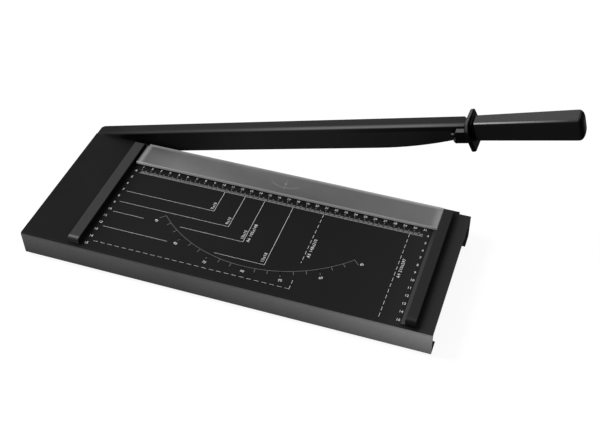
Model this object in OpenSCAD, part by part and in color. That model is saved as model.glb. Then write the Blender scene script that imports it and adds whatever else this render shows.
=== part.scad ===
// Desk paper cutter: a folded steel table with a fixed counter knife along its
// rear edge, and a lever with a curved blade that swings on a bolt at the left.
// +X runs along the cut towards the handle, +Y towards the knife, +Z up.
// The origin is the middle of the table on the desk, and the lever stands
// raised, as it is left between two cuts.

/* [Table] */
// Length of the table along the cut
base_w = 411; // [380:1:460]
// Depth of the table without the counter knife
base_d = 158; // [140:1:200]
// Height of the folded sheet from its lips to its top face
base_h = 27.5; // [22:0.5:32]
// Thickness of the sheet
sheet_t = 1.5; // [1:0.1:2]
// Outer radius of the folds, except the sharp one along the counter knife
bend_r = 2.2; // [2:0.1:4]
// Width of the lips that turn inward under the table
lip_w = 15.5; // [12:0.5:20]

/* [Feet] */
// Height of a rubber foot below the lips
foot_h = 2.5; // [2:0.5:5]
// Diameter of a rubber foot
foot_d = 10.5; // [10:0.5:14]
// Distance of the feet from the ends of the table
foot_inset = 24; // [20:1:60]

/* [Rails] */
// Clear space left of the left rail
left_field = 50.8; // [46:0.2:64]
// Width of the left rail
rail_w = 11.4; // [9:0.2:14]
// Height of both rails above the table
rail_h = 7; // [6:0.5:9]
// Length of both rails
rail_l = 150.4; // [120:0.4:152]
// Distance from the left rail to the upright side of the right rail
bed_w = 322.4; // [300:0.4:326]
// Width of the upright part of the right rail
right_rail_w = 9.9; // [8:0.1:12]
// Width of the low ledge along the right rail
ledge_w = 3.8; // [3:0.2:6]
// Height of the low ledge
ledge_h = 1.1; // [0.6:0.1:1.2]

/* [Finger guard] */
// Depth of the clear plate in front of the knife
guard_d = 30; // [26:1:36]
// Thickness of the clear plate
guard_t = 3; // [2.5:0.1:4]
// Gap for the paper under the clear plate
paper_gap = 1.5; // [1.3:0.1:2]

/* [Counter knife] */
// Thickness of the counter knife
knife_t = 2.6; // [2:0.1:4]
// Height of the counter knife
knife_h = 20; // [16:0.5:22]
// Number of screws that hold the counter knife
knife_screws = 5; // [3:1:7]

/* [Lever] */
// Angle of the raised lever above the level position
rest_angle = 15.45; // [10:0.01:40]
// Distance of the pivot from the left end of the table
pivot_inset = 18; // [17:0.5:24]
// Depth of the pivot below the top of the table
pivot_drop = 11; // [10:0.5:12]
// Length of the lever bar past the right end of the table
arm_past = 0.5; // [0:0.1:4]
// Length of the lever bar behind the pivot
arm_tail = 16.5; // [13:0.5:17]
// Width of the lever bar
arm_w = 15.5; // [13:0.5:16]
// Height of the lever bar above the pivot
arm_top = 13.9; // [12:0.1:16]
// Depth of the lever bar's legs below the pivot, ahead of its heel
arm_under = 3; // [2:0.1:3.4]
// Depth of the lever bar's heel below the pivot
heel_under = 9.5; // [8.5:0.1:10]
// Wall of the lever bar above and in front
arm_t = 3; // [2:0.1:3]

/* [Blade] */
// Thickness of the blade
blade_t = 2.5; // [2:0.1:3]
// Distance of the straight cutting edge below the pivot
edge_drop = 10.2; // [10:0.1:12]
// Length of the curved end of the cutting edge
edge_curve_l = 76; // [60:1:90]
// Radius of the curved end of the cutting edge
edge_r = 368; // [340:1:500]
// Distance from the blade's tip to the end of the lever bar
tip_inset = 12.8; // [12:0.2:25]
// Height of the ground bevel
bevel_h = 4; // [3:0.5:5]

/* [Pivot] */
// Diameter of the pivot bolt
bolt_d = 8; // [7:0.5:9]
// Outer diameter of the bush in the lever
bush_d = 12; // [11.5:0.5:13]

/* [Handle] */
// Width of the hand guard's plate from front to back
shield_w = 34.4; // [30:0.2:40]
// Height of the hand guard's plate
shield_h = 27.6; // [25:0.2:34]
// Thickness of the hand guard's plate
shield_t = 4; // [3:0.5:5]
// Length of the grip
grip_l = 97; // [85:0.5:120]
// Width of the grip at its root
grip_root_w = 14.5; // [13:0.1:18]
// Height of the grip at its root
grip_root_h = 20.8; // [19:0.1:24]
// Width of the grip at its end
grip_end_w = 18.5; // [15:0.1:22]
// Height of the grip at its end
grip_end_h = 24; // [20:0.1:28]
// Rounding of the grip's end
grip_end_r = 5.5; // [3:0.5:8]

/* [Hidden] */

// Roundness of bores, small round parts and large arcs
$fn = 48;
fine_fn = 96;
arc_fn = 720;
hull_fn = 24;

// Overrun of every cut, and clearances between seated pieces
cut = 1;
seat = 0.05;
fit = 0.1;
loose = 0.3;
// Sliding clearance between blade and counter knife
blade_play = 0.05;
// Running clearance of the bush on the bolt, on the radius
run_fit = 0.05;

// Table levels and edges
lip_z = foot_h;
top_z = foot_h + base_h;
under_z = top_z - sheet_t;
half_w = base_w / 2;
half_d = base_d / 2;
cut_y = half_d + knife_t;
// Outer radius of the sharp fold along the counter knife
knife_fold_r = 0.6;

// Rails
rail_rear = 4.2;
rail_y1 = half_d - rail_rear;
rail_y0 = rail_y1 - rail_l;
left_x = -half_w + left_field + rail_w;
right_x = left_x + bed_w;
rail_edge = 0.8;
rail_end_edge = 1.2;
rail_wall = 1.8;
rail_boss_d = 6;

// Small screws that hold rails and finger guard from below the table
screw_d = 3;
screw_head_d = 5.6;
screw_head_h = 2;
screw_slot_w = 0.8;
screw_slot_h = 0.9;
slot_share = 0.64;
pan_edge_share = 0.35;
rail_screw_bite = 5;
rail_screw_shares = [0.08, 0.5, 0.82];

// Finger guard
guard_left_gap = 2;
guard_right_gap = 0.4;
guard_rear = 1;
guard_x0 = left_x + guard_left_gap;
guard_x1 = right_x - guard_right_gap;
guard_y1 = half_d - guard_rear;
guard_y0 = guard_y1 - guard_d;
guard_z0 = top_z + paper_gap;
guard_boss_d = 6.4;
guard_boss_in = 8.4;
guard_boss_y_shares = [0.24, 0.68];
guard_bite_share = 0.6;
guard_bite = paper_gap + guard_t * guard_bite_share;
guard_notch_w = 2.4;
guard_notch_d = 3.4;
guard_edge = 0.4;

// Counter knife and its screws; it stops short of the table's right end
knife_short = 11.8;
knife_screw_d = 4;
knife_head_d = 7.5;
knife_head_h = 2.4;
knife_screw_z = top_z - knife_h / 2;
knife_screw_in = 52;
knife_screw_tip = 0.4;

// Feet
foot_stem_d = 5;
foot_knob_d = 7.4;
foot_knob_h = 1.6;
foot_edge = 1;

// Pivot stack, listed from the bolt head inwards
pivot_x = -half_w + pivot_inset;
pivot_z = top_z - pivot_drop;
hex_af = 13;
hex_edge_d = 12.6;
hex_edge_h = 0.9;
hex_edge_rise = 3.4;
head_h = 5.3;
washer_t = 1.5;
washer_d = 17;
plate_w = 34;
plate_h = 16;
plate_t = 3;
plate_r = 3;
spring_t = 1.1;
spring_d = 16;
spring_rise = 0.7;
nut_h = 6.4;
nut_collar_h = 1.8;
nut_collar_d = 11.6;
bolt_past_nut = 0.6;
hole_fit = 0.2;
arm_back_y = cut_y + blade_play + arm_w;
outer_washer_y = arm_back_y + fit;
head_y = outer_washer_y + washer_t + seat;
plate_y = half_d - sheet_t - seat - plate_t;
inner_washer_y = plate_y - seat - washer_t;
spring_y = inner_washer_y - seat - spring_t - spring_rise;
nut_y = spring_y - seat - nut_h;
bolt_tip_y = nut_y - nut_collar_h - bolt_past_nut;

// Lever section: y from the blade's face to the back, z from the pivot
arm_l = base_w - pivot_inset + arm_past;
arm_front_r = 1.8;
arm_back_r = 1.2;
lip_drop = 5.6;
blade_top = arm_top - lip_drop;
leg_y = blade_t + seat;
tail_top_r = 1.5;
tail_low_r = 12;
tail_back_r = 7;
heel_x0 = 14;
heel_x1 = 44;
arm_end_chamfer = 4;
back_wall = 3.5;
channel_y0 = leg_y + arm_t;
channel_y1 = arm_w - back_wall;
channel_top = arm_top - arm_t;

// Blade
tail_step = 1;
blade_tail = arm_tail - tail_step;
blade_l = arm_l - tip_inset;
edge_straight = blade_l - edge_curve_l;
edge_land = 0.4;
arc_cx = edge_straight;
arc_cz = edge_r - edge_drop;
blade_screw_d = 4;
blade_head_d = 7;
blade_head_h = 2.6;
blade_screw_z = 1.5;
blade_skin = 0.6;
blade_screws_n = 5;
blade_screw_x0 = 42;
blade_screw_end = 43;
blade_screw_x1 = blade_l - blade_screw_end;
access_d = 8;

// Handle, placed on the lever's own lines
grip_front = -0.8;
grip_top = 16.6;
grip_rise = 0.9;
shield_gap = 2.5;
shield_x = arm_l + shield_gap;
shield_y = 7.5;
shield_z = 2.55;
shield_r = 2.8;
shield_edge = 0.8;
shield_lean = 10.1;
shield_turn = 0.8;
hub_l = 2.05;
hub_in = 1;
grip_x = shield_x + shield_t + hub_l + seat;
grip_root_r = 2.6;
grip_end_corner_r = 3.2;
grip_slab = 0.4;
grip_round_steps = 6;
tang_t = 5;
tang_h = 11;
tang_in_bar = 41;
tang_in_grip = 62;
tang_x0 = arm_l - tang_in_bar;
tang_x1 = grip_x + tang_in_grip;
tang_z = 4.5;
tang_y1 = channel_y1 - seat;
tang_y0 = tang_y1 - tang_t;
tang_screw_d = 4;
tang_screw_head_d = 7;
tang_screw_head_h = 2.4;
tang_screw_in = 10;
tang_screw_gap = 18;
tang_screw_xs = [tang_x0 + tang_screw_in, tang_x0 + tang_screw_in + tang_screw_gap];
tang_screw_bite = 3.6;
grip_screw_d = 4;
grip_screw_head_d = 7;
grip_screw_head_h = 2.6;
grip_screw_sink = 4;
grip_screw_bite = 5;
grip_screw_in = 40;
grip_screw_x = grip_x + grip_screw_in;

// Stop nose in front of the lever's end
nose_w = 9.3;
nose_out = 6;
nose_low = 2.3;
nose_top = 9;
nose_edge = 1.2;
nose_lead = 2.2;
nose_lead_h = 3.6;
nose_y1 = leg_y - seat;
nose_x0 = arm_l - nose_w;
nose_screw_d = 2.5;
nose_screw_head_d = 4.6;
nose_screw_head_h = 5;
nose_screw_y = -3;
nose_screw_z = 4.1;
nose_screw_bite = 2.4;
nose_screw_x1 = shield_x + nose_screw_bite;

paint = [0.13, 0.13, 0.13];
flat_black = [0.07, 0.07, 0.07];
dark_grey = [0.27, 0.27, 0.27];
black_steel = [0.2, 0.2, 0.21];
zinc = [0.62, 0.63, 0.65];
smoke = [0.42, 0.43, 0.43, 0.75];
rubber = [0.05, 0.05, 0.05];

// Helpers

// A bar with the given y-z outline, from x0 to x1
module along_x(x0, x1) {
    translate([x0, 0, 0])
        rotate([90, 0, 90])
            linear_extrude(x1 - x0)
                children();
}

// A plate with the given x-z outline, from y0 to y1
module along_y(y0, y1) {
    translate([0, y1, 0])
        rotate([90, 0, 0])
            linear_extrude(y1 - y0)
                children();
}

// A round pin along +Y from y0 to y1
module pin_y(x, z, d, y0, y1) {
    translate([x, y0, z])
        rotate([-90, 0, 0])
            cylinder(h = y1 - y0, d = d);
}

// A round pin along +X from x0 to x1
module pin_x(y, z, d, x0, x1) {
    translate([x0, y, z])
        rotate([0, 90, 0])
            cylinder(h = x1 - x0, d = d);
}

// A quarter of a ring, or of a disc where the fold is sharper than the sheet
module fold(r, t) {
    intersection() {
        difference() {
            circle(r = r, $fn = fine_fn);
            if (r > t)
                circle(r = r - t, $fn = fine_fn);
        }
        square(r + cut);
    }
}

// A pan-head screw that points up +Z, with its head below z = 0
module pan_screw(d, head_d, head_h, length) {
    edge = head_h * pan_edge_share;
    slot_l = head_d * slot_share;
    difference() {
        union() {
            cylinder(h = length, d = d);
            translate([0, 0, -head_h + edge])
                cylinder(h = head_h - edge, d = head_d);
            translate([0, 0, -head_h])
                cylinder(h = edge, d1 = head_d - 2 * edge, d2 = head_d);
        }
        for (turn = [0, 90])
            rotate([0, 0, turn])
                translate([-slot_l / 2, -screw_slot_w / 2, -head_h - cut])
                    cube([slot_l, screw_slot_w, screw_slot_h + cut]);
    }
}

// Everything on the lever is drawn on its own lines and then raised
module on_lever() {
    translate([pivot_x, cut_y + blade_play, pivot_z])
        rotate([0, -rest_angle, 0])
            children();
}

// Places that several pieces share
function knife_screw_x(i) =
    -half_w + knife_screw_in + i * (base_w - 2 * knife_screw_in) / (knife_screws - 1);
function blade_screw_x(i) =
    blade_screw_x0 + i * (blade_screw_x1 - blade_screw_x0) / (blade_screws_n - 1);
function rail_screw_y(share) = rail_y0 + share * rail_l;
rail_screw_xs = [left_x - rail_w / 2, right_x + right_rail_w / 2];
guard_boss_xs = [guard_x0 + guard_boss_in, guard_x1 - guard_boss_in];
function guard_boss_y(share) = guard_y0 + share * guard_d;
foot_xs = [-half_w + foot_inset, half_w - foot_inset];
foot_y = half_d - lip_w / 2;
// Underside of the grip at a distance x from the pivot
function grip_bottom(x) =
    grip_top - grip_root_h
    + (x - grip_x) / grip_l * (grip_rise - grip_end_h + grip_root_h);

// Table

// Half of the folded sheet: top, fold of radius top_r, flange, fold and lip
module half_section(top_r) {
    mid = half_d - bend_r;
    low = lip_z + bend_r;
    translate([0, under_z])
        square([half_d - top_r, sheet_t]);
    translate([half_d - top_r, top_z - top_r])
        fold(top_r, sheet_t);
    translate([half_d - sheet_t, low])
        square([sheet_t, top_z - top_r - low]);
    translate([mid, low])
        mirror([0, 1])
            fold(bend_r, sheet_t);
    translate([half_d - lip_w, lip_z])
        square([lip_w - bend_r, sheet_t]);
}

// The rear half with its sharp fold, and the front half
module base_section() {
    half_section(knife_fold_r);
    mirror([1, 0])
        half_section(bend_r);
}

module base_plate() {
    color(paint)
        difference() {
            along_x(-half_w, half_w)
                base_section();
            for (x = rail_screw_xs, share = rail_screw_shares)
                translate([x, rail_screw_y(share), under_z - cut])
                    cylinder(h = sheet_t + 2 * cut, d = screw_d + 2 * hole_fit);
            for (x = guard_boss_xs, share = guard_boss_y_shares)
                translate([x, guard_boss_y(share), under_z - cut])
                    cylinder(h = sheet_t + 2 * cut, d = screw_d + 2 * hole_fit);
            for (x = foot_xs, side = [-1, 1])
                translate([x, side * foot_y, lip_z - cut])
                    cylinder(h = sheet_t + 2 * cut, d = foot_stem_d + 2 * fit);
            for (i = [0 : knife_screws - 1])
                pin_y(knife_screw_x(i), knife_screw_z, knife_screw_d + 2 * hole_fit,
                      half_d - sheet_t - cut, half_d + cut);
            pin_y(pivot_x, pivot_z, bolt_d + 2 * hole_fit,
                  half_d - sheet_t - cut, half_d + cut);
        }
}

module counter_knife() {
    color(black_steel)
        difference() {
            translate([-half_w, half_d, top_z - knife_h])
                cube([base_w - knife_short, knife_t, knife_h]);
            for (i = [0 : knife_screws - 1])
                pin_y(knife_screw_x(i), knife_screw_z, knife_screw_d + 2 * seat,
                      half_d - cut, cut_y + cut);
            pin_y(pivot_x, pivot_z, bolt_d + 2 * fit, half_d - cut, cut_y + cut);
        }
}

module counter_knife_screws() {
    color(zinc)
        for (i = [0 : knife_screws - 1])
            translate([knife_screw_x(i), half_d - sheet_t - seat, knife_screw_z])
                rotate([-90, 0, 0])
                    pan_screw(knife_screw_d, knife_head_d, knife_head_h,
                              sheet_t + seat + knife_t - knife_screw_tip);
}

// Rail outline across its length, centred on y = 0, standing on z = 0
module rail_outline(w) {
    translate([-w / 2, 0])
        square([w, rail_h - rail_edge]);
    translate([-w / 2 + rail_edge, 0])
        square([w - 2 * rail_edge, rail_h]);
    for (side = [-1, 1])
        translate([side * (w / 2 - rail_edge), rail_h - rail_edge])
            circle(r = rail_edge);
}

// Side outline of a rail with its upper end corners cut back
module rail_side() {
    polygon([[rail_y0, top_z], [rail_y1, top_z],
             [rail_y1, top_z + rail_h - rail_end_edge],
             [rail_y1 - rail_end_edge, top_z + rail_h],
             [rail_y0 + rail_end_edge, top_z + rail_h],
             [rail_y0, top_z + rail_h - rail_end_edge]]);
}

// A moulded rail that is hollow below, with a boss over each screw
module rail(x, w) {
    difference() {
        union() {
            difference() {
                intersection() {
                    translate([x, rail_y1, top_z])
                        rotate([90, 0, 0])
                            linear_extrude(rail_l)
                                rail_outline(w);
                    along_x(x - w, x + w)
                        rail_side();
                }
                translate([x - w / 2 + rail_wall, rail_y0 + rail_wall, top_z - cut])
                    cube([w - 2 * rail_wall, rail_l - 2 * rail_wall,
                          rail_h - rail_wall + cut]);
            }
            for (share = rail_screw_shares)
                intersection() {
                    translate([x, rail_screw_y(share), top_z])
                        cylinder(h = rail_h - rail_wall / 2, d = rail_boss_d);
                    translate([x - w / 2 + rail_wall / 2, rail_y0, top_z])
                        cube([w - rail_wall, rail_l, rail_h]);
                }
        }
        for (share = rail_screw_shares)
            translate([x, rail_screw_y(share), top_z - cut])
                cylinder(h = rail_screw_bite + loose + cut, d = screw_d + 2 * seat);
    }
}

module left_rail() {
    color(dark_grey)
        rail(left_x - rail_w / 2, rail_w);
}

module right_rail() {
    color(paint)
        union() {
            rail(right_x + right_rail_w / 2, right_rail_w);
            translate([right_x - ledge_w, rail_y0, top_z])
                cube([ledge_w + rail_wall / 2, rail_l, ledge_h]);
        }
}

module rail_screws() {
    color(zinc)
        for (x = rail_screw_xs, share = rail_screw_shares)
            translate([x, rail_screw_y(share), under_z - seat])
                pan_screw(screw_d, screw_head_d, screw_head_h,
                          sheet_t + seat + rail_screw_bite);
}

// Clear plate on four bosses, with its sharp upper edges broken
module finger_guard() {
    e = guard_edge;
    w = guard_x1 - guard_x0;
    color(smoke)
        difference() {
            union() {
                translate([guard_x0, guard_y0, guard_z0])
                    cube([w, guard_d, guard_t - e]);
                translate([guard_x0 + e, guard_y0 + e, guard_z0])
                    cube([w - 2 * e, guard_d - 2 * e, guard_t]);
                for (x = guard_boss_xs, share = guard_boss_y_shares)
                    translate([x, guard_boss_y(share), top_z])
                        cylinder(h = paper_gap + e, d = guard_boss_d);
            }
            for (x = guard_boss_xs, share = guard_boss_y_shares)
                translate([x, guard_boss_y(share), top_z - cut])
                    cylinder(h = guard_bite + loose + cut, d = screw_d + 2 * seat);
            translate([guard_x0 - cut, guard_y1 - guard_notch_d, guard_z0 - cut])
                cube([guard_notch_w + cut, guard_notch_d + cut, guard_t + 2 * cut]);
        }
}

module guard_screws() {
    color(zinc)
        for (x = guard_boss_xs, share = guard_boss_y_shares)
            translate([x, guard_boss_y(share), under_z - seat])
                pan_screw(screw_d, screw_head_d, screw_head_h,
                          sheet_t + seat + guard_bite);
}

// Rubber foot with a stem that snaps through the lip
module foot(x, y) {
    lip_top = lip_z + sheet_t;
    color(rubber)
        translate([x, y, 0]) {
            cylinder(h = foot_edge, d1 = foot_d - 2 * foot_edge, d2 = foot_d);
            translate([0, 0, foot_edge])
                cylinder(h = foot_h - foot_edge - seat, d = foot_d);
            cylinder(h = lip_top + foot_knob_h, d = foot_stem_d);
            translate([0, 0, lip_top + seat])
                cylinder(h = foot_knob_h, d1 = foot_knob_d, d2 = foot_stem_d);
        }
}

// Pivot

module pivot_plate() {
    color(zinc)
        difference() {
            along_y(plate_y, plate_y + plate_t)
                union() {
                    translate([pivot_x - plate_w / 2 + plate_r, pivot_z - plate_h / 2])
                        square([plate_w - 2 * plate_r, plate_h]);
                    translate([pivot_x - plate_w / 2, pivot_z - plate_h / 2 + plate_r])
                        square([plate_w, plate_h - 2 * plate_r]);
                    for (sx = [-1, 1], sz = [-1, 1])
                        translate([pivot_x + sx * (plate_w / 2 - plate_r),
                                   pivot_z + sz * (plate_h / 2 - plate_r)])
                            circle(r = plate_r);
                }
            pin_y(pivot_x, pivot_z, bolt_d + 2 * fit,
                  plate_y - cut, plate_y + plate_t + cut);
        }
}

// Hexagon prism along +Y whose corners are turned off at both faces
module hexagon(y0, y1) {
    h = y1 - y0;
    wide = hex_edge_d + hex_edge_rise;
    translate([pivot_x, y0, pivot_z])
        rotate([-90, 0, 0])
            intersection() {
                cylinder(h = h, d = hex_af / cos(30), $fn = 6);
                union() {
                    cylinder(h = hex_edge_h, d1 = hex_edge_d, d2 = wide);
                    translate([0, 0, hex_edge_h])
                        cylinder(h = h - 2 * hex_edge_h, d = wide);
                    translate([0, 0, h - hex_edge_h])
                        cylinder(h = hex_edge_h, d1 = wide, d2 = hex_edge_d);
                }
            }
}

module pivot_bolt() {
    color(zinc)
        union() {
            hexagon(head_y, head_y + head_h);
            pin_y(pivot_x, pivot_z, bolt_d, bolt_tip_y, head_y + seat);
        }
}

module washer(y) {
    color(zinc)
        difference() {
            pin_y(pivot_x, pivot_z, washer_d, y, y + washer_t);
            pin_y(pivot_x, pivot_z, bolt_d + 2 * fit, y - cut, y + washer_t + cut);
        }
}

// Dished washer that keeps the blade against the counter knife
module spring_washer() {
    inner_r = bolt_d / 2 + fit;
    outer_r = spring_d / 2;
    color(zinc)
        translate([pivot_x, spring_y, pivot_z])
            rotate([-90, 0, 0])
                rotate_extrude($fn = fine_fn)
                    polygon([[inner_r, 0], [outer_r, spring_rise],
                             [outer_r, spring_rise + spring_t], [inner_r, spring_t]]);
}

module pivot_nut() {
    color(zinc)
        difference() {
            union() {
                hexagon(nut_y, nut_y + nut_h);
                pin_y(pivot_x, pivot_z, nut_collar_d, nut_y - nut_collar_h, nut_y + seat);
            }
            pin_y(pivot_x, pivot_z, bolt_d + 2 * seat,
                  nut_y - nut_collar_h - cut, nut_y + nut_h + cut);
        }
}

// Lever

// Outline of the lever bar seen from its end: y to the right, z up
module arm_section() {
    difference() {
        union() {
            translate([0, blade_top])
                square([arm_w, arm_top - arm_front_r - blade_top]);
            translate([arm_front_r, blade_top])
                square([arm_w - arm_front_r - arm_back_r, arm_top - blade_top]);
            translate([arm_front_r, arm_top - arm_front_r])
                circle(r = arm_front_r);
            translate([arm_w - arm_back_r, arm_top - arm_back_r])
                circle(r = arm_back_r);
            translate([arm_w - arm_back_r - arm_front_r, blade_top])
                square([arm_back_r + arm_front_r, arm_top - arm_back_r - blade_top]);
            translate([leg_y, -arm_under])
                square([arm_w - leg_y, blade_top + arm_under + cut]);
        }
        translate([channel_y0, -arm_under - cut])
            square([channel_y1 - channel_y0, channel_top + arm_under + cut]);
    }
}

// The two corners that are taken off the tail: above, and round the pivot below
module tail_corners(tail, top, low) {
    difference() {
        translate([-tail - cut, top - tail_top_r])
            square([tail_top_r + cut, tail_top_r + cut]);
        translate([-tail + tail_top_r, top - tail_top_r])
            circle(r = tail_top_r);
    }
    difference() {
        translate([-tail - cut, -low - cut])
            square([tail_low_r + cut, tail_low_r + cut]);
        translate([-tail + tail_low_r, -low + tail_low_r])
            circle(r = tail_low_r, $fn = fine_fn);
    }
}

// What the rounded back corner of the tail leaves free, seen from above
module tail_back_corner() {
    difference() {
        translate([-cut, -tail_back_r])
            square([tail_back_r + cut, tail_back_r + cut]);
        translate([tail_back_r, -tail_back_r])
            circle(r = tail_back_r);
    }
}

// Side outline of the lever bar, deep at its heel and slimmer ahead of it
module arm_outline() {
    difference() {
        polygon([[-arm_tail, -heel_under], [heel_x0, -heel_under],
                 [heel_x1, -arm_under], [arm_l, -arm_under],
                 [arm_l, arm_top + cut], [-arm_tail, arm_top + cut]]);
        tail_corners(arm_tail, arm_top, heel_under);
    }
}

module arm_bar() {
    c = arm_end_chamfer;
    color(paint)
        on_lever()
            difference() {
                intersection() {
                    along_x(-arm_tail, arm_l)
                        arm_section();
                    along_y(-cut, arm_w + cut)
                        arm_outline();
                }
                pin_y(0, 0, bush_d + 2 * seat, leg_y - cut, arm_w + cut);
                for (i = [0 : blade_screws_n - 1]) {
                    pin_y(blade_screw_x(i), blade_screw_z, blade_screw_d + 2 * fit,
                          leg_y - cut, channel_y0 + cut);
                    pin_y(blade_screw_x(i), blade_screw_z, access_d,
                          channel_y1 - cut, arm_w + cut);
                }
                for (x = tang_screw_xs)
                    pin_y(x, tang_z, tang_screw_d + 2 * fit,
                          channel_y1 - cut, arm_w + cut);
                translate([0, 0, -arm_under - cut])
                    linear_extrude(arm_top + arm_under + 2 * cut)
                        polygon([[arm_l - c, arm_w], [arm_l, arm_w - c],
                                 [arm_l + cut, arm_w - c], [arm_l + cut, arm_w + cut],
                                 [arm_l - c, arm_w + cut]]);
                translate([-arm_tail, arm_w, -heel_under - cut])
                    linear_extrude(arm_top + heel_under + 2 * cut)
                        tail_back_corner();
            }
}

// Side outline of the blade: straight edge, then an arc up to the tip
module blade_outline() {
    high = blade_top - seat;
    difference() {
        intersection() {
            translate([-blade_tail, -edge_drop])
                square([blade_tail + blade_l, high + edge_drop]);
            union() {
                translate([-blade_tail - cut, -edge_drop - cut])
                    square([blade_tail + edge_straight + cut, high + edge_drop + 2 * cut]);
                translate([arc_cx, arc_cz])
                    circle(r = edge_r, $fn = arc_fn);
            }
        }
        tail_corners(blade_tail, high, edge_drop);
        circle(d = bush_d + 2 * seat);
    }
}

// What the grinding takes off the blade's back, as distance past the edge
// and distance from the blade's face
bevel_cut = [[-bevel_h, blade_t], [0, edge_land], [cut, edge_land],
             [cut, blade_t + cut], [-bevel_h, blade_t + cut]];

module blade() {
    tip_angle = acos((blade_l + cut - arc_cx) / edge_r);
    color(black_steel)
        on_lever()
            difference() {
                along_y(0, blade_t)
                    blade_outline();
                along_x(-blade_tail - cut, edge_straight)
                    polygon([for (p = bevel_cut) [p[1], -edge_drop - p[0]]]);
                translate([arc_cx, 0, arc_cz])
                    rotate([-90, 0, 0])
                        rotate([0, 0, tip_angle])
                            rotate_extrude(angle = 90 - tip_angle, $fn = arc_fn)
                                polygon([for (p = bevel_cut) [edge_r + p[0], p[1]]]);
                for (i = [0 : blade_screws_n - 1])
                    pin_y(blade_screw_x(i), blade_screw_z, blade_screw_d + 2 * seat,
                          blade_skin, blade_t + cut);
            }
}

module blade_screws() {
    start = channel_y0 + seat;
    color(zinc)
        on_lever()
            for (i = [0 : blade_screws_n - 1])
                translate([blade_screw_x(i), start, blade_screw_z])
                    rotate([90, 0, 0])
                        pan_screw(blade_screw_d, blade_head_d, blade_head_h,
                                  start - blade_skin - fit);
}

module pivot_bush() {
    color("peru")
        on_lever()
            difference() {
                pin_y(0, 0, bush_d, fit, arm_w);
                pin_y(0, 0, bolt_d + 2 * run_fit, -cut, arm_w + cut);
            }
}

// Handle

// Flat bar that carries the handle, held inside the end of the lever bar
module handle_tang() {
    color(zinc)
        on_lever()
            difference() {
                translate([tang_x0, tang_y0, tang_z - tang_h / 2])
                    cube([tang_x1 - tang_x0, tang_t, tang_h]);
                for (x = tang_screw_xs)
                    pin_y(x, tang_z, tang_screw_d + 2 * seat, tang_y0 - cut, tang_y1 + cut);
                translate([grip_screw_x, (tang_y0 + tang_y1) / 2,
                           tang_z - tang_h / 2 - cut])
                    cylinder(h = grip_screw_bite + loose + cut,
                             d = grip_screw_d + 2 * seat);
            }
}

module tang_screws() {
    color(zinc)
        on_lever()
            for (x = tang_screw_xs)
                translate([x, arm_w + seat, tang_z])
                    rotate([90, 0, 0])
                        pan_screw(tang_screw_d, tang_screw_head_d, tang_screw_head_h,
                                  arm_w - channel_y1 + 2 * seat + tang_screw_bite);
}

// The space that the tang takes in the hand guard and the grip
module tang_slot(x0, x1) {
    translate([x0, tang_y0 - hole_fit, tang_z - tang_h / 2 - hole_fit])
        cube([x1 - x0, tang_t + 2 * hole_fit, tang_h + 2 * hole_fit]);
}

// Outline of the hand guard's plate, centred
module shield_outline() {
    w = shield_w / 2 - shield_r;
    h = shield_h / 2 - shield_r;
    square([2 * w, shield_h], center = true);
    square([shield_w, 2 * h], center = true);
    for (sy = [-1, 1], sz = [-1, 1])
        translate([sy * w, sz * h])
            circle(r = shield_r);
}

// Outline of the plate seen from its side, with its edges broken
module shield_edges(size) {
    e = shield_edge;
    m = size / 2;
    polygon([[0, -m + e], [e, -m], [shield_t - e, -m], [shield_t, -m + e],
             [shield_t, m - e], [shield_t - e, m], [e, m], [0, m - e]]);
}

// Places a piece on the hand guard's left face, whose top leans to the left
module on_shield() {
    translate([shield_x, shield_y, shield_z])
        rotate([0, -shield_lean, -shield_turn])
            children();
}

// Leaning plate that keeps the hand off the blade, on a square hub
module hand_guard() {
    hub_x0 = arm_l + loose;
    color(flat_black)
        on_lever()
            difference() {
                union() {
                    on_shield()
                        intersection() {
                            along_x(0, shield_t)
                                shield_outline();
                            along_y(-shield_w, shield_w)
                                shield_edges(shield_h);
                            translate([0, 0, -shield_h])
                                linear_extrude(2 * shield_h)
                                    shield_edges(shield_w);
                        }
                    translate([hub_x0, grip_front + hub_in, grip_bottom(grip_x) + hub_in])
                        cube([grip_x - seat - hub_x0, grip_root_w - 2 * hub_in,
                              grip_root_h - 2 * hub_in]);
                }
                tang_slot(hub_x0 - cut, grip_x + cut);
                pin_x(nose_screw_y, nose_screw_z,
                      nose_screw_d + 2 * seat, hub_x0 - 2 * cut, nose_screw_x1 + loose);
            }
}

// One thin slice of the grip: a rectangle with rounded corners
module grip_slice(x, inset) {
    share = (x - grip_x) / grip_l;
    w = grip_root_w + share * (grip_end_w - grip_root_w) - 2 * inset;
    h = grip_root_h + share * (grip_end_h - grip_root_h) - 2 * inset;
    r = grip_root_r + share * (grip_end_corner_r - grip_root_r);
    translate([x, grip_front + inset, grip_top + share * grip_rise - inset - h])
        for (y = [r, w - r], z = [r, h - r])
            translate([0, y, z])
                rotate([0, 90, 0])
                    cylinder(h = grip_slab, r = r, $fn = hull_fn);
}

// Grip that widens to its end, which is rounded all round
module handle_grip() {
    end_x = grip_x + grip_l - grip_slab;
    bottom = grip_bottom(grip_screw_x);
    color(flat_black)
        on_lever()
            difference() {
                hull() {
                    grip_slice(grip_x, 0);
                    for (i = [0 : grip_round_steps]) {
                        turn = 90 * i / grip_round_steps;
                        grip_slice(end_x - grip_end_r * (1 - sin(turn)),
                                   grip_end_r * (1 - cos(turn)));
                    }
                }
                tang_slot(grip_x - cut, tang_x1 + loose);
                translate([grip_screw_x, (tang_y0 + tang_y1) / 2, bottom - cut]) {
                    cylinder(h = grip_screw_sink + cut, d = grip_screw_head_d + 2 * fit);
                    cylinder(h = tang_z - bottom, d = grip_screw_d + 2 * fit);
                }
            }
}

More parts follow.
